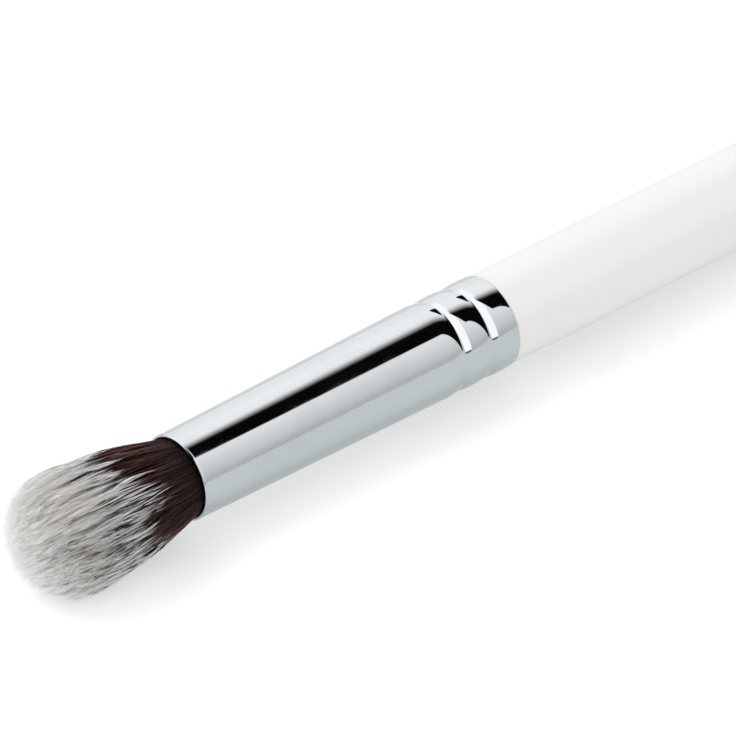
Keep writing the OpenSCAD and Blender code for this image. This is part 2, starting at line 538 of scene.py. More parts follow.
@dataclass(frozen=True)
class ResinFinish(UnevenFinish):
    """Cured amber resin, cloudy in places."""

    name: str = "cured_resin"
    scales: Triple = (700.0, 3000.0, 1.0)
    colours: tuple[Colour, Colour] = ((0.5, 0.33, 0.12, 1), (0.66, 0.5, 0.26, 1))
    tint: Follow = (Mask.BROAD, Change(0.35, 0.7, smooth=True))
    rough: Follow = (Mask.BROAD, Change(0.35, 0.7, 0.15, 0.3, smooth=True))
    bumps: tuple[Mask, float, float] = (Mask.FINE, 0.15, 0.04 * MM)


@dataclass(frozen=True)
class GlueFinish(ResinFinish):
    """Cured wood glue, paler and duller than the resin."""

    name: str = "cured_glue"
    colours: tuple[Colour, Colour] = ((0.72, 0.64, 0.42, 1), (0.82, 0.77, 0.6, 1))
    rough: Follow = (Mask.BROAD, Change(0.35, 0.7, 0.4, 0.6, smooth=True))


@dataclass(frozen=True)
class ThreadFinish(UnevenFinish):
    """Undyed twisted thread with fine hairs lying along its plies."""

    name: str = "undyed_thread"
    scales: Triple = (1500.0, 12000.0, 0.5)
    colours: tuple[Colour, Colour] = ((0.8, 0.76, 0.66, 1), (0.55, 0.5, 0.4, 1))
    tint: Follow = (Mask.SCRATCHES, Change(0.35, 0.65))
    rough: Follow = (Mask.BROAD, Change(0.3, 0.7, 0.75, 0.9))
    bumps: tuple[Mask, float, float] = (Mask.SCRATCHES, 0.5, 0.02 * MM)
    sheen: float = 0.3


@dataclass(frozen=True)
class FibreFinish:
    """Two-tone synthetic fibres: dark at the roots, grey-white at the tips.

    Painted shade darkens the light ends in short gaps between locks, with more of it on the tuft's front,
    and turns the roots near-black where they crowd into the mouth. The heights and the gaps' length are in
    mm, as the mesh's attributes give them.

    Attributes:
        gaps_round: how many gaps lie over a radian of the tuft.
        gap_lean: how much wider they are where the tuft faces gap_side, which paints more shade on that
            side.
        opened: the noise at which the painted shade of the gaps sets in.
        faded: how the painted shade of the gaps fades over the height above the mouth.
        freed: the heights over which the painted near-black shade of the roots, packed at the mouth, gives
            way to their own colour.
        changed: where a fibre turns light, before its own shift.
        light_depth: how far light runs inside the fibres.
    """

    # Painted shade: near-black on the roots where they crowd into the mouth.
    packed: Colour = (0.004, 0.0015, 0.0015, 1)
    root: Colour = (0.012, 0.0035, 0.003, 1)
    root_lit: Colour = (0.044, 0.018, 0.015, 1)
    tip: Colour = (0.997, 0.967, 0.935, 1)
    tip_shade: Colour = (0.982, 0.938, 0.898, 1)
    # Painted shade, laid on the light ends in short gaps between locks.
    gap_shade: Colour = (0.02, 0.014, 0.011, 1)
    gap_length: float = 3.2
    gaps_round: float = 38.0
    gap_detail: float = 1.0
    gap_distortion: float = 0.1
    gap_side: Triple = (0, -0.99, 0.141)
    gap_lean: Change = Change(0.6, 1.0, -0.055, 0.055)
    opened: Change = Change(0.6, 0.65, smooth=True)
    faded: Change = Change(13.0, 15.5, 1.0, 0.3)
    freed: Change = Change(0.0, 3.5)
    changed: Change = Change(3.9, 5.5, smooth=True)
    rough: Change = Change(0.0, 1.0, 0.38, 0.55)
    specular: float = 0.2
    light_depth: float = 0.15 * MM

    def gaps(self, shader: Shader, axis: BrushAxis, height: Socket) -> Socket:
        """Paints shade in short dark gaps between the light ends, which run along the fibres.

        Args:
            shader: the material's builder.
            axis: where the brush lies.
            height: the height above the mouth in mm.

        Returns:
            A mask of the painted shade in the gaps.
        """
        from_axis = shader.vectors("ADD", shader.coordinates(), (0, 0, -axis.height))
        out = shader.vectors("NORMALIZE", shader.vectors("MULTIPLY", from_axis, (0, 1, 1)))
        along = shader.add("ShaderNodeCombineXYZ", {"X": shader.maths("DIVIDE", height, self.gap_length)})
        wound = shader.vectors("MULTIPLY", out, (self.gaps_round,) * 3)
        drawn = shader.vectors("ADD", wound, along.outputs["Vector"])
        noise = shader.add("ShaderNodeTexNoise", {"Vector": drawn, "Scale": 1.0})
        shader.join(noise, Detail=self.gap_detail, Distortion=self.gap_distortion)
        # Painted shade: the gaps widen where the tuft faces the front.
        lean = shader.ranged(shader.vectors("DOT_PRODUCT", out, self.gap_side), self.gap_lean)
        mask = shader.ranged(shader.maths("ADD", noise.outputs["Fac"], lean), self.opened)
        return shader.maths("MULTIPLY", mask, shader.ranged(height, self.faded))

    def material(self, axis: BrushAxis) -> Material:
        """Builds the material, which reads its place along the fibre and the fibre's tone from the mesh.

        Args:
            axis: where the brush lies.

        Returns:
            The material.
        """
        material, shader, principled = new_material("two_tone_fibre")
        height, along, tone = (
            shader.add("ShaderNodeAttribute", attribute_name=name).outputs["Fac"]
            for name in ("height", "along", "tone")
        )
        roots = shader.mixed(tone, self.root, self.root_lit)
        # Painted shade: the roots go near-black where they are packed into the mouth.
        roots = shader.mixed(shader.ranged(height, self.freed), self.packed, roots)
        tips = shader.mixed(tone, self.tip_shade, self.tip)
        # Painted shade: the light ends darken in short gaps.
        tips = shader.mixed(self.gaps(shader, axis, height), tips, self.gap_shade)
        shader.join(
            principled,
            Base_Color=shader.mixed(shader.ranged(along, self.changed), roots, tips),
            Roughness=shader.ranged(tone, self.rough),
            Specular_IOR_Level=self.specular,
            Subsurface_Weight=1.0,
            Subsurface_Radius=(1.0, 1.0, 1.0),
            Subsurface_Scale=self.light_depth,
        )
        return material


@dataclass(frozen=True)
class Lock:
    """A lock of neighbouring fibres that lean together.

    Attributes:
        middle: its place at the mouth, as a share of the tuft's radius.
        phase: where along the tuft it is pinched, as an angle.
        sway: the direction that it sways in.
        shift: from -0.5 to 0.5, how far its change of colour is moved towards the tips.
        tone: a number from 0 to 1 that sets its shade.
        late: a number from 0 to 1: below a limit, its change of colour comes late.
    """

    middle: Vector
    phase: float
    sway: Vector
    shift: float
    tone: float
    late: float


@dataclass(frozen=True)
class Fibre:
    """One fibre of the tuft.

    Attributes:
        root: its place at the mouth, as a share of the tuft's radius.
        clump: the large lock that it leans to.
        wisp: the small lock that it is pinched into.
        drift: how far it strays by its tip, in the same shares.
        reach: how far its tip stands out of the mouth.
        tone: a number from 0 to 1 that sets its shade.
        shift: how far its change of colour is moved towards the tip.
        phase: the angle that its slight wave and its corners start at.
    """

    root: Vector
    clump: Lock
    wisp: Lock
    drift: Vector
    reach: float
    tone: float
    shift: float
    phase: float


@dataclass
class BristleTuft:
    """The tuft: fine fibres that flare out of the ferrule and end on a dome.

    A clump is a large lock of fibres, and a wisp is a small one. The sizes whose names end in shift or
    spread move a fibre's change of colour towards its tip. The near side is the one at the front and
    below, where a few fibres turn light late.
    """

    axis: BrushAxis
    finish: FibreFinish = FibreFinish()
    mouth_radius: float = 3.17 * MM
    bound_radius: float = 2.95 * MM
    root_depth: float = 9 * MM
    dome_inset_share: float = 0.12
    reach_passes: int = 4
    fibre_count: int = 9600
    fibre_radius: float = 0.036 * MM
    tip_radius_share: float = 0.25
    taper_power: float = 2.5
    length_spread_share: float = 0.055
    lock_stray_share: float = 0.35
    clump_count: int = 110
    clump_pull: float = 0.3
    clump_rate: float = 1.4
    wisp_count: int = 640
    wisp_pull: float = 0.8
    wisp_waves: float = 3.2
    free_rate: float = 4.0
    sway_share: float = 0.03
    sway_rate: float = 0.7
    sway_phase: float = 1.0
    drift_share: float = 0.03
    stray_share: float = 0.02
    stray_drift_share: float = 0.1
    wave_share: float = 0.005
    wave_angle: float = 9.0
    wisp_tone_share: float = 0.6
    change_spread: float = 4.0 * MM
    clump_shift_share: float = 0.3
    wisp_shift_share: float = 0.6
    fibre_shift_share: float = 0.4
    # Painted shade: inner fibres keep their dark colour further up.
    inner_shade_shift_share: float = 0.5
    top_shift: float = 0.85 * MM
    round_shift: float = 1.4 * MM
    round_waves: int = 4
    round_phase: float = math.radians(138)
    round_middle: float = 0.5
    near_limit: float = 0.6
    near_slant: float = 0.5
    late_spread: float = 5.0 * MM
    late_share: float = 0.04
    late_wisp_share: float = 0.05
    late_wisp_least: float = 0.5
    rings: int = 18
    sides: int = 3
    seed: int = 11

    @property
    def belly_radius(self) -> float:
        """The tuft's radius where it is fullest."""
        return self.axis.belly_radius

    @property
    def dome_height(self) -> float:
        """Where the dome's centre stands, from the mouth."""
        return self.axis.mouth_x - self.axis.tuft_x - self.belly_radius

    def radius_at(self, height: float) -> float:
        """Finds the radius of the tuft's outer fibres.

        Args:
            height: the height above the mouth, below 0 inside the ferrule.

        Returns:
            The radius there.
        """
        if height < 0:
            return blend(self.mouth_radius, self.bound_radius, -height / self.root_depth)
        if height < self.dome_height:
            flare = math.sin(QUARTER_TURN * height / self.dome_height)
            return blend(self.mouth_radius, self.belly_radius, flare)
        past = (height - self.dome_height) / self.belly_radius
        return self.belly_radius * (1 - self.dome_inset_share * past * past)

    def reach_of(self, share: float) -> float:
        """Finds where a fibre meets the dome.

        Args:
            share: its distance to the axis, as a share of the tuft's radius.

        Returns:
            The height of that point above the mouth.
        """
        height = self.dome_height
        for _ in range(self.reach_passes):
            across = share * self.radius_at(height)
            height = self.dome_height + math.sqrt(max(0.0, self.belly_radius**2 - across**2))
        return height

    @staticmethod
    def disc(count: int) -> list[Vector]:
        """Spreads points evenly over a disc of radius 1, in a sunflower's order.

        Args:
            count: how many.

        Returns:
            The points, from the middle outwards.
        """
        return [
            Vector((math.cos(i * GOLDEN_ANGLE), math.sin(i * GOLDEN_ANGLE))) * math.sqrt((i + 0.5) / count)
            for i in range(count)
        ]

    def locks(self, count: int, draw: random.Random) -> tuple[list[Lock], KDTree]:
        """Spreads locks over the tuft.

        Args:
            count: how many.
            draw: the random numbers to use.

        Returns:
            The locks, and a tree that finds the nearest one.
        """
        locks = []
        tree = KDTree(count)
        for i, even in enumerate(self.disc(count)):
            stray = Vector((draw.gauss(0, 1), draw.gauss(0, 1)))
            middle = even + stray * self.lock_stray_share / math.sqrt(count)
            turned = draw.random() * math.tau
            sway = Vector((math.cos(turned), math.sin(turned)))
            phase = draw.random() * math.tau
            locks.append(Lock(middle, phase, sway, draw.uniform(-0.5, 0.5), draw.random(), draw.random()))
            tree.insert((*middle, 0), i)
        tree.balance()
        return locks, tree

    def change_shift(self, root: Vector, clump: Lock, wisp: Lock, draw: random.Random) -> float:
        """Draws how far a fibre's change of colour is moved towards its tip.

        Args:
            root: the fibre's place at the mouth, as a share of the tuft's radius.
            clump: its large lock.
            wisp: its small lock.
            draw: the random numbers to use.

        Returns:
            The shift.
        """
        spread = self.clump_shift_share * clump.shift + self.wisp_shift_share * wisp.shift
        spread += self.fibre_shift_share * draw.uniform(-0.5, 0.5)
        shift = self.change_spread * spread
        # Painted shade: inner fibres, which reach further, keep the dark root colour further up, so the deep
        # tuft shows dark through the gaps.
        shift += self.inner_shade_shift_share * (self.reach_of(root.length) - self.dome_height)
        turned = self.round_waves * (math.atan2(root.y, root.x) - self.round_phase)
        shift += self.round_shift * root.length * (self.round_middle - math.cos(turned))
        shift += self.top_shift * (root.x + root.y)
        near_side = max(0.0, self.near_limit - root.x - self.near_slant * root.y)
        if wisp.late < self.late_wisp_share * near_side:
            shift += draw.uniform(self.late_wisp_least, 1) * self.late_spread
        elif draw.random() < self.late_share * near_side:
            shift += draw.random() * self.late_spread
        return shift

    def fibres(self) -> list[Fibre]:
        """Draws all fibres.

        Returns:
            The fibres, the innermost first.
        """
        draw = random.Random(self.seed)
        clumps, clump_tree = self.locks(self.clump_count, draw)
        wisps, wisp_tree = self.locks(self.wisp_count, draw)
        fibres = []
        for root in self.disc(self.fibre_count):
            clump = clumps[clump_tree.find((*root, 0))[1]]
            wisp = wisps[wisp_tree.find((*root, 0))[1]]
            stray = draw.random() < self.stray_share
            spread = self.stray_drift_share if stray else self.drift_share
            drift = Vector((draw.gauss(0, 1), draw.gauss(0, 1))) * spread
            reach = self.reach_of(root.length) * (1 - abs(draw.gauss(0, 1)) * self.length_spread_share)
            shift = self.change_shift(root, clump, wisp, draw)
            tone = blend(draw.random(), wisp.tone, self.wisp_tone_share)
            fibres.append(Fibre(root, clump, wisp, drift, reach, tone, shift, draw.random() * math.tau))
        return fibres

    def spot(self, fibre: Fibre, height: float) -> Vector:
        """Finds the middle of a fibre.

        Args:
            fibre: the fibre.
            height: the height above the mouth.

        Returns:
            The fibre's place there, in the brush's frame.
        """
        share = max(height, 0.0) / (self.dome_height + self.belly_radius)
        free = smooth_step(share * self.free_rate)
        wisp = fibre.wisp
        place = fibre.root.lerp(fibre.clump.middle, self.clump_pull * smooth_step(share * self.clump_rate))
        turned = wisp.phase + math.tau * self.wisp_waves * share
        pinch = self.wisp_pull * free * (1 + math.sin(turned)) / 2
        place += (wisp.middle - fibre.root) * pinch * (1 - self.clump_pull)
        place += wisp.sway * self.sway_share * free * math.sin(turned * self.sway_rate + self.sway_phase)
        place += fibre.drift * share * share
        wave = math.sin(fibre.phase + share * self.wave_angle) * self.wave_share
        place += Vector((wave, -wave)) * min(share * self.free_rate, 1)
        if place.length > 1:
            place.normalize()
        across, up = place * self.radius_at(height)
        return self.axis.place(-height, across, up)

    def build(self, fibres: Sequence[Fibre]) -> BMesh:
        """Grows a layer of fibres, one ring of all of them at a time.

        Args:
            fibres: the layer's fibres.

        Returns:
            The layer's mesh, with each corner's height, its place along its fibre and its shade.
        """
        bm = bmesh.new()
        number = bm.verts.layers.int.new("fibre")
        corner = bm.verts.layers.int.new("corner")
        bm.verts.layers.float.new("along")
        bm.verts.layers.float.new("height")
        tone = bm.verts.layers.float.new("tone")
        bmesh.ops.create_circle(bm, cap_ends=True, radius=self.fibre_radius, segments=self.sides)
        while len(bm.faces) < len(fibres):
            missing = len(fibres) - len(bm.faces)
            bmesh.ops.duplicate(bm, geom=list(bm.faces)[:missing])
        for i, face in enumerate(bm.faces):
            for side, vert in enumerate(face.verts):
                vert[number] = i
                vert[corner] = side
                vert[tone] = fibres[i].tone
        self.move_ring(bm, list(bm.verts), fibres, [-self.root_depth] * len(fibres), 1.0)
        edges = list(bm.edges)
        for station in shares(self.rings):
            verts, edges = grow_ring(bm, edges)
            taper = blend(1.0, self.tip_radius_share, station**self.taper_power) if station < 1 else 0.0
            self.move_ring(bm, verts, fibres, [fibre.reach * station for fibre in fibres], taper)
        bmesh.ops.remove_doubles(bm, verts=verts, dist=MERGE_DISTANCE)
        bmesh.ops.recalc_face_normals(bm, faces=bm.faces)
        for face in bm.faces:
            face.smooth = True
        return bm

    def move_ring(
        self,
        bm: BMesh,
        verts: Sequence[BMVert],
        fibres: Sequence[Fibre],
        heights: Sequence[float],
        taper: float,
    ) -> None:
        """Moves one ring of every fibre to its place, and notes how far along the fibre it is.

        Args:
            bm: the layer's mesh.
            verts: the ring's corners.
            fibres: all fibres of the layer.
            heights: each fibre's height for this ring.
            taper: the fibre's radius here as a share of its full one.
        """
        number, corner = (bm.verts.layers.int[name] for name in ("fibre", "corner"))
        along, above = (bm.verts.layers.float[name] for name in ("along", "height"))
        spots = [self.spot(fibre, height) for fibre, height in zip(fibres, heights, strict=True)]
        out = self.fibre_radius * taper
        for vert in verts:
            i = vert[number]
            angle = fibres[i].phase + math.tau * vert[corner] / self.sides
            vert.co = spots[i] + Vector((0, out * math.cos(angle), out * math.sin(angle)))
            vert[along] = (heights[i] - fibres[i].shift) / MM
            vert[above] = heights[i] / MM

    def dress(self) -> list[Object]:
        """Builds the layers and gives them their finish.

        Returns:
            One piece for each layer.
        """
        fibres = self.fibres()
        material = self.finish.material(self.axis)
        pieces = []
        count = math.ceil(len(fibres) / len(Layer))
        for i, layer in enumerate(Layer):
            bm = self.build(fibres[i * count : (i + 1) * count])
            pieces.append(attach(piece_from(bm, layer.value, material), "bristles"))
        return pieces


@dataclass
class Ferrule:
    """The plated tube, with its round lip, two rolled grooves and turned-in end."""

    axis: BrushAxis
    finish: PlatedFinish = PlatedFinish()
    mouth_radius: float = 3.5 * MM
    rear_radius: float = 3.83 * MM
    wall: float = 0.3 * MM
    groove_end: float = 2.6 * MM
    groove_pitch: float = 2.7 * MM
    groove_depth: float = 0.13 * MM
    groove_power: float = 2.5
    groove_round_share: float = 0.05
    end_turn: float = 0.1 * MM
    end_power: float = 3.0
    rim_round: float = 0.065 * MM
    sides: int = 192
    groove_steps: int = 60
    round_steps: int = 12
    cone_steps: int = 24

    @property
    def length(self) -> float:
        """The ferrule's length."""
        return self.axis.ferrule_end_x - self.axis.mouth_x

    @property
    def grooves(self) -> tuple[float, float]:
        """The middles of the two grooves, from the mouth."""
        near = self.length - self.groove_end
        return near - self.groove_pitch, near

    def outer_radius(self, along: float) -> float:
        """Finds the outer radius, before the end turns in.

        Args:
            along: the distance from the mouth.

        Returns:
            The radius there.
        """
        half = self.groove_pitch / 2
        cone_share = min(along / (self.grooves[0] - half), 1)
        radius = blend(self.mouth_radius, self.rear_radius, cone_share)
        flank = math.hypot(1, self.groove_round_share) - self.groove_round_share
        for middle in self.grooves:
            share = min(abs(along - middle) / half, 1)
            rounded = (math.hypot(share, self.groove_round_share) - self.groove_round_share) / flank
            radius -= self.groove_depth * (1 - rounded) ** self.groove_power
        return radius

    def wall_outline(self, inset: float) -> list[Point]:
        """Draws one side of the wall, from the mouth's lip to the handle end.

        Args:
            inset: how far it lies inside the outer side.

        Returns:
            Its points.
        """
        lip = self.wall / 2
        start = self.grooves[0] - self.groove_pitch / 2
        cone = [blend(lip, start, share**2) for share in shares(self.cone_steps)[:-1]]
        rolled = [start + 2 * self.groove_pitch * share for share in shares(2 * self.groove_steps)]
        points = [(along, self.outer_radius(along) - inset) for along in cone + rolled]
        rear = self.rear_radius - inset
        band = self.length - self.rim_round - rolled[-1]
        for share in shares(self.cone_steps, 1):
            radius = rear - (self.end_turn - self.rim_round) * share**self.end_power
            points.append((rolled[-1] + band * share, radius))
        for share in shares(self.round_steps, 1):
            angle = QUARTER_TURN * share
            radius = rear - self.end_turn + self.rim_round * math.cos(angle)
            points.append((self.length - self.rim_round * (1 - math.sin(angle)), radius))
        return points

    def outline(self) -> list[Point]:
        """Draws the wall's whole outline, with the half round of its lip.

        Returns:
            Its points, once round.
        """
        lip = self.wall / 2
        rounded = []
        for share in shares(self.round_steps, 1)[:-1]:
            angle = math.pi * share
            rounded.append((lip * (1 - math.sin(angle)), self.mouth_radius - lip - lip * math.cos(angle)))
        return rounded + self.wall_outline(0) + self.wall_outline(self.wall)[::-1]

    def build(self) -> BMesh:
        """Turns the wall's outline, and returns the tube's mesh."""
        return turn(self.outline(), self.axis, self.sides, closed=True)

    def dress(self, effects: Effects) -> Object:
        """Gives the tube its finish, which uses the shared groups, and returns its piece."""
        material = self.finish.material(effects)
        return attach(piece_from(self.build(), "ferrule_tube", material), "ferrule")


@dataclass
class Handle:
    """The turned handle: a bare tenon inside the ferrule, and lacquered wood outside it."""

    axis: BrushAxis
    lacquer: LacquerFinish = LacquerFinish()
    wood: WoodFinish = WoodFinish()
    shoulder_radius: float = 3.73 * MM
    shoulder_round: float = 0.12 * MM
    tenon_radius: float = 3.28 * MM
    tenon_length: float = 12 * MM
    tenon_chamfer: float = 0.6 * MM
    swell_length: float = 12 * MM
    grip_length: float = 40 * MM
    tail_radius: float = 2.3 * MM
    sides: int = 128
    long_steps: int = 40
    round_steps: int = 12

    def outline(self) -> list[Point]:
        """Draws the handle's outline.

        Returns:
            Its points, from the middle of the tenon's tip to the middle of the tail.
        """
        start = self.axis.ferrule_end_x - self.axis.mouth_x
        end = self.axis.tail_x - self.axis.mouth_x
        low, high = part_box("handle")
        grip_radius = (high[1] - low[1]) / 2
        tip = start - self.tenon_length
        points = [
            (tip, 0.0),
            (tip, self.tenon_radius - self.tenon_chamfer),
            (tip + self.tenon_chamfer, self.tenon_radius),
            (start, self.tenon_radius),
        ]
        for share in shares(self.round_steps):
            angle = QUARTER_TURN * share
            radius = self.shoulder_radius - self.shoulder_round * (1 - math.sin(angle))
            points.append((start + self.shoulder_round * (1 - math.cos(angle)), radius))
        swell_start, swell_end = start + self.shoulder_round, start + self.swell_length
        for share in shares(self.long_steps, 1):
            radius = blend(self.shoulder_radius, grip_radius, math.sin(QUARTER_TURN * share))
            points.append((blend(swell_start, swell_end, share), radius))
        taper_start, taper_end = swell_end + self.grip_length, end - self.tail_radius
        for share in shares(self.long_steps):
            radius = blend(self.tail_radius, grip_radius, math.cos(QUARTER_TURN * share))
            points.append((blend(taper_start, taper_end, share), radius))
        for share in shares(self.round_steps, 1)[:-1]:
            out, along = math.cos(QUARTER_TURN * share), math.sin(QUARTER_TURN * share)
            points.append((taper_end + self.tail_radius * along, self.tail_radius * out))
        points.append((end, 0.0))
        return points

    def build(self) -> BMesh:
        """Turns the outline, and gives the tenon's faces the number of the second finish.

        Returns:
            The handle's mesh.
        """
        bm = turn(self.outline(), self.axis, self.sides, closed=False)
        for face in bm.faces:
            face.material_index = int(face.calc_center_median().x < self.axis.ferrule_end_x)
        return bm

    def dress(self, effects: Effects) -> Object:
        """Gives the handle lacquer and its tenon bare wood, and returns its piece."""
        finishes = self.lacquer.material(effects), self.wood.material(effects)
        return attach(piece_from(self.build(), "handle_turned", *finishes), "handle")


@dataclass
class BindingThread:
    """The thread wound round the roots, twisted from two plies."""

    axis: BrushAxis
    finish: ThreadFinish = ThreadFinish()
    thickness: float = 0.2 * MM
    turns: int = 4
    rings_in_turn: int = 40
    plies: int = 2
    ply_sides: int = 6
    twists_in_turn: int = 9

    def middle(self, share: float) -> tuple[Vector, Vector, Vector]:
        """Finds a point of the thread's middle line.

        Args:
            share: how far along the thread it is.

        Returns:
            The point, and the two directions square to the thread there.
        """
        low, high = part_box("binding_thread")
        half = self.thickness / 2
        angle = math.tau * self.turns * share
        radius = (high[1] - low[1]) / 2 - half
        out = Vector((0, math.cos(angle), math.sin(angle)))
        x = blend(high[0] - half, low[0] + half, share)
        return Vector((x, 0, self.axis.height)) + radius * out, out, Vector((1, 0, 0))

    def wind_ply(self, bm: BMesh, ply: int) -> None:
        """Winds a ply round the roots, ring by ring, and closes its ends.

        Args:
            bm: the thread's mesh, with a layer for the number of a corner in its ring.
            ply: the ply's number.
        """
        corner = bm.verts.layers.int["corner"]
        ply_radius = self.thickness / 2 / self.plies
        ring = bmesh.ops.create_circle(bm, cap_ends=True, radius=ply_radius, segments=self.ply_sides)
        verts = ring["verts"]
        edges = list(verts[0].link_faces[0].edges)
        for number, vert in enumerate(verts):
            vert[corner] = number
        for share in shares(self.turns * self.rings_in_turn):
            if share > 0:
                verts, edges = grow_ring(bm, edges)
            centre, out, side = self.middle(share)
            twist = math.tau * (ply / self.plies + self.twists_in_turn * self.turns * share)
            centre = centre + ply_radius * (math.cos(twist) * out + math.sin(twist) * side)
            for vert in verts:
                around = math.tau * vert[corner] / self.ply_sides
                vert.co = centre + ply_radius * (math.cos(around) * out + math.sin(around) * side)
        bmesh.ops.contextual_create(bm, geom=edges)

    def build(self) -> BMesh:
        """Winds all plies.

        Returns:
            The thread's mesh.
        """
        bm = bmesh.new()
        bm.verts.layers.int.new("corner")
        for ply in range(self.plies):
            self.wind_ply(bm, ply)
        bmesh.ops.recalc_face_normals(bm, faces=bm.faces)
        shade_smooth(bm)
        return bm

    def dress(self, effects: Effects) -> Object:
        """Gives the thread its finish, which uses the shared groups, and returns its piece."""
        piece = piece_from(self.build(), "binding_thread_plies", self.finish.material(effects))
        return attach(piece, "binding_thread")


@dataclass
class RootDisc:
    """The slice of resin that the roots are set in, with a chamfer round each face."""

    axis: BrushAxis
    depth: float = 9 * MM
    thickness: float = 1 * MM
    radius: float = 2.95 * MM
    chamfer: float = 0.15 * MM
    sides: int = 64

    def build(self) -> BMesh:
        """Turns the disc's outline.

        Returns:
            The disc's mesh.
        """
        front, back = self.depth, self.depth + self.thickness
        outline = [
            (front, 0.0),
            (front, self.radius - self.chamfer),
            (front + self.chamfer, self.radius),
            (back - self.chamfer, self.radius),
            (back, self.radius - self.chamfer),
            (back, 0.0),
        ]
        return turn(outline, self.axis, self.sides, closed=False)

    def dress(self, resin: Material) -> Object:
        """Gives the disc the resin's finish, and returns its piece."""
        return attach(piece_from(self.build(), "root_disc", resin), "bristles")


@dataclass(frozen=True)
class Way:
    """A direction that light comes from.

    It is given by its parts along the brush towards the tail, across it towards the back, and upwards,
    and by its turn round the brush in degrees, from the front over the top to the back.
    """

    along: Socket
    across: Socket
    above: Socket
    degrees: Socket

    @classmethod
    def from_world(cls, shader: Shader) -> "Way":
        """Reads the direction from the world's coordinates.

        Args:
            shader: the world's builder.

        Returns:
            The direction.
        """
        along, across, above = shader.split(shader.coordinates("Generated"))
        turned = shader.maths("ARCTAN2", above, shader.maths("MULTIPLY", across, -1.0))
        return cls(along, across, above, shader.maths("DEGREES", turned))


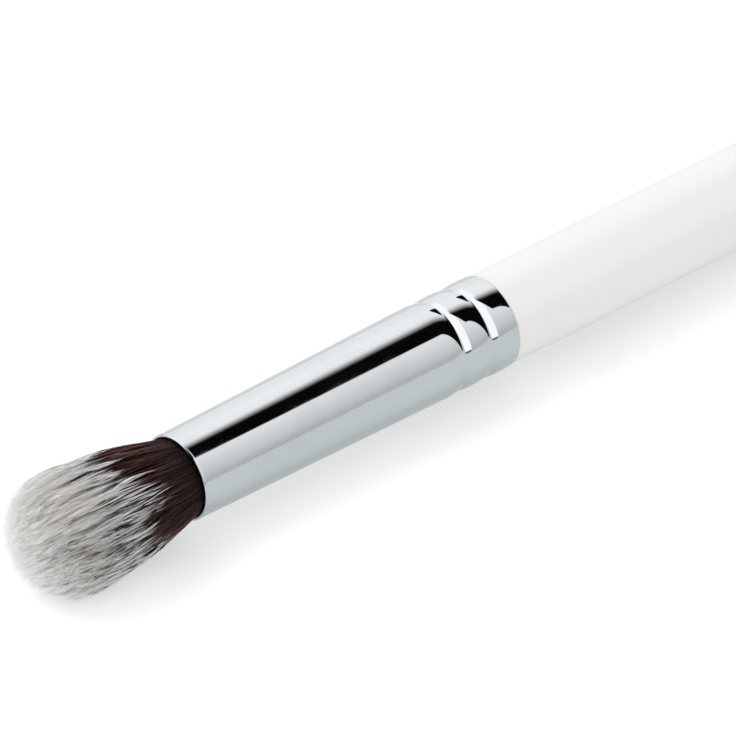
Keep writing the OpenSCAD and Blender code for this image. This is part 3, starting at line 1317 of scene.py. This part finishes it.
@dataclass(frozen=True)
class Surround:
    """The room: white to the camera, plain to matt surfaces, and patterned for polished ones.

    Polished surfaces mirror pale walls, a dark strip overhead with a dark patch at its far end, a bright
    window that arches over the brush through a gap in the strip, and a dark foot below the window.
    """

    white: Colour = (1, 1, 1, 1)
    front: Colour = (0.92, 0.92, 0.92, 1)
    rear: Colour = (0.8, 0.8, 0.8, 1)
    front_to_rear: Change = Change(-1.0, 1.0)
    wall: Colour = (1.4, 1.4, 1.4, 1)
    wall_stops: tuple[float, ...] = (0, 0.05, 0.11, 0.2, 0.32, 0.75, 0.9, 1)
    wall_greys: tuple[float, ...] = (0.51, 0.53, 0.64, 0.73, 0.86, 1, 0.9, 0.85)
    half_turn: Change = Change(0.0, 180.0)
    dark: Colour = (0.003, 0.003, 0.003, 1)
    strip_near_edges: tuple[Change, ...] = (
        Change(0.3, 0.5, 0.13, -0.37),
        Change(0.54, 0.64, 0.0, -0.08),
        Change(0.64, 0.85, 0.0, -0.18),
        Change(0.08, 0.12, -0.5, 0.0),
    )
    strip_near_blur: Change = Change(-0.015, 0.015, smooth=True)
    strip_far_edge: Change = Change(0.06, 0.38, 1.0, 0.0, smooth=True)
    strip_start: Change = Change(0.3, 0.32, smooth=True)
    strip_side: Change = Change(0.08, 0.11, 1.0, 0.0, smooth=True)
    strip_end: Change = Change(0.9, 0.95, 1.0, 0.0, smooth=True)
    patch_degrees: float = 140.0
    patch_reach: Change = Change(0.63, 0.84, 0.0, 28.0)
    patch_blur: Change = Change(-1.0, 1.0, 1.0, 0.0, smooth=True)
    patch_start: Change = Change(0.63, 0.65)
    window: Colour = (1.6, 1.6, 1.6, 1)
    window_start: Change = Change(0.08, 0.12)
    window_end: Change = Change(0.35, 0.38, 1.0, 0.0)
    window_sill: Change = Change(0.05, 0.09)
    window_back: Change = Change(140.0, 150.0, 1.0, 0.0)
    foot_end: Change = Change(0.32, 0.35, 1.0, 0.0)
    foot_top: Change = Change(0.05, 0.08, 1.0, 0.0)
    foot_share: float = 0.8

    def walls(self, shader: Shader, way: Way) -> Socket:
        """Shades the walls round the brush.

        Args:
            shader: the world's builder.
            way: the direction of the light.

        Returns:
            The walls' colour.
        """
        ramp = shader.add("ShaderNodeValToRGB", {"Fac": shader.ranged(way.degrees, self.half_turn)})
        elements = ramp.color_ramp.elements
        while len(elements) < len(self.wall_stops):
            elements.new(1.0)
        for element, stop, grey in zip(elements, self.wall_stops, self.wall_greys, strict=True):
            element.position = stop
            element.color = (grey, grey, grey, 1)
        return shader.mixed(1.0, ramp.outputs["Color"], self.wall, blend_type="MULTIPLY")

    def darkness(self, shader: Shader, way: Way) -> Socket:
        """Places the dark strip overhead, its patch and the window's foot.

        Args:
            shader: the world's builder.
            way: the direction of the light.

        Returns:
            Their mask.
        """
        near = shader.maths("ADD", *(shader.ranged(way.along, edge) for edge in self.strip_near_edges))
        inside = shader.ranged(shader.maths("SUBTRACT", way.across, near), self.strip_near_blur)
        far = shader.ranged(way.across, self.strip_far_edge)
        start = shader.ranged(way.along, self.strip_start)
        start = shader.maths("MAXIMUM", start, shader.ranged(way.along, self.strip_side))
        strip = shader.maths("MULTIPLY", inside, far, start)
        away = shader.maths("ABSOLUTE", shader.maths("SUBTRACT", way.degrees, self.patch_degrees))
        past = shader.maths("SUBTRACT", away, shader.ranged(way.along, self.patch_reach))
        patch = shader.ranged(past, self.patch_blur)
        patch = shader.maths("MULTIPLY", patch, shader.ranged(way.along, self.patch_start))
        both = shader.maths("MAXIMUM", strip, patch)
        both = shader.maths("MULTIPLY", both, shader.ranged(way.along, self.strip_end))
        foot_end, foot_top = shader.ranged(way.along, self.foot_end), shader.ranged(way.above, self.foot_top)
        return shader.maths("MAXIMUM", both, shader.maths("MULTIPLY", foot_end, foot_top, self.foot_share))

    def build(self) -> None:
        """Sets the world."""
        world = bpy.data.worlds.new("bright_room")
        bpy.context.scene.world = world
        world.use_nodes = True
        shader = Shader(world.node_tree)
        way = Way.from_world(shader)
        window = shader.maths(
            "MULTIPLY",
            shader.ranged(way.along, self.window_end),
            shader.ranged(way.above, self.window_sill),
            shader.ranged(way.degrees, self.window_back),
            shader.ranged(way.along, self.window_start),
        )
        mirrored = shader.mixed(window, self.walls(shader, way), self.window)
        mirrored = shader.mixed(self.darkness(shader, way), mirrored, self.dark)
        rays = shader.add("ShaderNodeLightPath").outputs
        seen = shader.mixed(shader.ranged(way.across, self.front_to_rear), self.front, self.rear)
        seen = shader.mixed(rays["Is Glossy Ray"], seen, mirrored)
        seen = shader.mixed(rays["Is Camera Ray"], seen, self.white)
        background = shader.add("ShaderNodeBackground", {"Color": seen, "Strength": 1.0})
        shader.add("ShaderNodeOutputWorld", {"Surface": background.outputs[0]})


@dataclass(frozen=True)
class Lamp:
    """A square soft lamp that faces the middle of the brush, with its side and its power in watts."""

    name: str
    place: Triple
    size: float
    power: float

    def hang(self) -> Object:
        """Hangs the lamp, which polished surfaces don't mirror.

        Returns:
            The lamp.
        """
        light = bpy.data.lights.new(self.name, "AREA")
        light.shape = "SQUARE"
        light.size = self.size
        light.energy = self.power
        lamp = bpy.data.objects.new(self.name, light)
        lamp.visible_glossy = False
        place = Vector(self.place)
        turned = (-place).to_track_quat("-Z", "Y").to_matrix().to_4x4()
        lamp.matrix_world = Matrix.Translation(place) @ turned
        bpy.context.scene.collection.objects.link(lamp)
        return lamp


@dataclass
class Studio:
    """A pale table, soft light, a bright surround and the camera.

    The table shows the camera some of its own light, which lightens the shadow on it. How much changes
    with the distance behind the mouth.
    """

    axis: BrushAxis
    surround: Surround = Surround()
    lamps: tuple[Lamp, ...] = (
        Lamp("soft_key", (-0.6, 0.3, 0.9), 0.4, 3.0),
        Lamp("soft_fill", (-0.95, 0.0, 0.4), 0.6, 2.9),
    )
    floor_size: float = 6.0
    floor_cells: int = 8
    floor_rough: float = 0.6
    floor_colour: Colour = (0.96, 0.96, 0.96, 1)
    floor_in_metal: Colour = (0.8, 0.88, 0.89, 1)
    floor_glow: Colour = (1, 1, 1, 1)
    floor_glow_in_metal: Colour = (0.84, 0.84, 0.85, 1)
    floor_gain: Change = Change(18 * MM, 38 * MM, 0.19, 0.0)
    floor_glow_share: Change = Change(18 * MM, 38 * MM, 0.42, 0.46)
    floor_glow_share_in_metal: float = 0.45
    camera_azimuth: float = math.radians(-40.8)
    camera_elevation: float = math.radians(35.63)
    camera_distance: float = 0.69
    camera_reach: Point = (0.05, 20.0)
    pixels_per_mm: float = 13.196
    frame_pixels: int = 736
    aim_from_mouth: float = 17.65 * MM
    aim_pixel: Point = (355.2, 388.1)
    sensor: float = 36.0

    def floor(self) -> Object:
        """Builds the table's top, which meets the camera white away from the brush's shadow.

        Returns:
            The table's top.
        """
        bm = bmesh.new()
        cells = self.floor_cells
        bmesh.ops.create_grid(bm, x_segments=cells, y_segments=cells, size=self.floor_size / 2)
        material, shader, principled = new_material("white_table")
        rays = shader.add("ShaderNodeLightPath").outputs
        camera, glossy = rays["Is Camera Ray"], rays["Is Glossy Ray"]
        colour = shader.mixed(glossy, self.floor_colour, self.floor_in_metal)
        shader.join(principled, Base_Color=colour, Roughness=self.floor_rough)
        along = shader.maths("SUBTRACT", shader.split(shader.coordinates())[0], self.axis.mouth_x)
        gain = shader.maths("MULTIPLY", camera, shader.ranged(along, self.floor_gain))
        glow = shader.mixed(glossy, self.floor_glow, self.floor_glow_in_metal)
        light = shader.add("ShaderNodeEmission", {"Color": glow, "Strength": shader.maths("ADD", 1.0, gain)})
        seen = shader.maths("MULTIPLY", camera, shader.ranged(along, self.floor_glow_share))
        mirrored = shader.maths("MULTIPLY", glossy, self.floor_glow_share_in_metal)
        share = shader.maths("ADD", seen, mirrored)
        both = shader.add("ShaderNodeMixShader", {0: share, 1: principled.outputs[0], 2: light.outputs[0]})
        shader.join(shader.tree.get_output_node("ALL"), Surface=both.outputs[0])
        floor = piece_from(bm, "table_top", material)
        return floor

    def camera(self) -> Object:
        """Sets the camera at the photograph's angle, far off, with a long lens.

        Returns:
            The camera.
        """
        level = math.cos(self.camera_elevation)
        right = Vector((math.cos(self.camera_azimuth), math.sin(self.camera_azimuth), 0))
        look = Vector((-right.y * level, right.x * level, -math.sin(self.camera_elevation)))
        up = right.cross(look)
        middle = self.frame_pixels / 2
        aim = self.axis.place(self.aim_from_mouth, 0, 0)
        aim += right * (middle - self.aim_pixel[0]) / self.pixels_per_mm * MM
        aim -= up * (middle - self.aim_pixel[1]) / self.pixels_per_mm * MM
        data = bpy.data.cameras.new("camera")
        data.sensor_width = self.sensor
        focal_pixels = self.pixels_per_mm * self.camera_distance / MM
        data.lens = focal_pixels * self.sensor / self.frame_pixels
        data.clip_start, data.clip_end = self.camera_reach
        camera = bpy.data.objects.new("camera", data)
        turned = Matrix((right, up, -look)).transposed().to_4x4()
        camera.matrix_world = Matrix.Translation(aim - look * self.camera_distance) @ turned
        bpy.context.scene.collection.objects.link(camera)
        bpy.context.scene.camera = camera
        return camera

    def build(self) -> None:
        """Sets up the table, the surround, the lamps and the camera."""
        self.floor()
        self.surround.build()
        for lamp in self.lamps:
            lamp.hang()
        self.camera()
        bpy.context.scene.view_settings.view_transform = "Standard"


def dress_hidden_nodes(effects: Effects, resin: Material) -> None:
    """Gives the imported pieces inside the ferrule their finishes.

    Args:
        effects: the shared shader groups.
        resin: the resin's material.
    """
    glue = GlueFinish().material(effects)
    for node, material in (("root_plug", resin), ("tenon_adhesive", glue)):
        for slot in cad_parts[node].material_slots:
            slot.material = material
        log.info("%s keeps its packed shape, in %s", node, material.name)


def main() -> None:
    """Builds the brush, sub-assembly by sub-assembly, and reports each piece."""
    logging.basicConfig(level=logging.INFO, format="%(name)s: %(message)s")
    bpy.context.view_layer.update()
    axis = BrushAxis.from_frame()
    effects = Effects()
    resin = ResinFinish().material(effects)
    Studio(axis).build()
    dress_hidden_nodes(effects, resin)
    pieces = [
        *BristleTuft(axis).dress(),
        RootDisc(axis).dress(resin),
        BindingThread(axis).dress(effects),
        Ferrule(axis).dress(effects),
        Handle(axis).dress(effects),
    ]
    for piece in pieces:
        log.info("%s: %d faces", piece.name, len(piece.data.polygons))


if __name__ == "__main__":
    main()
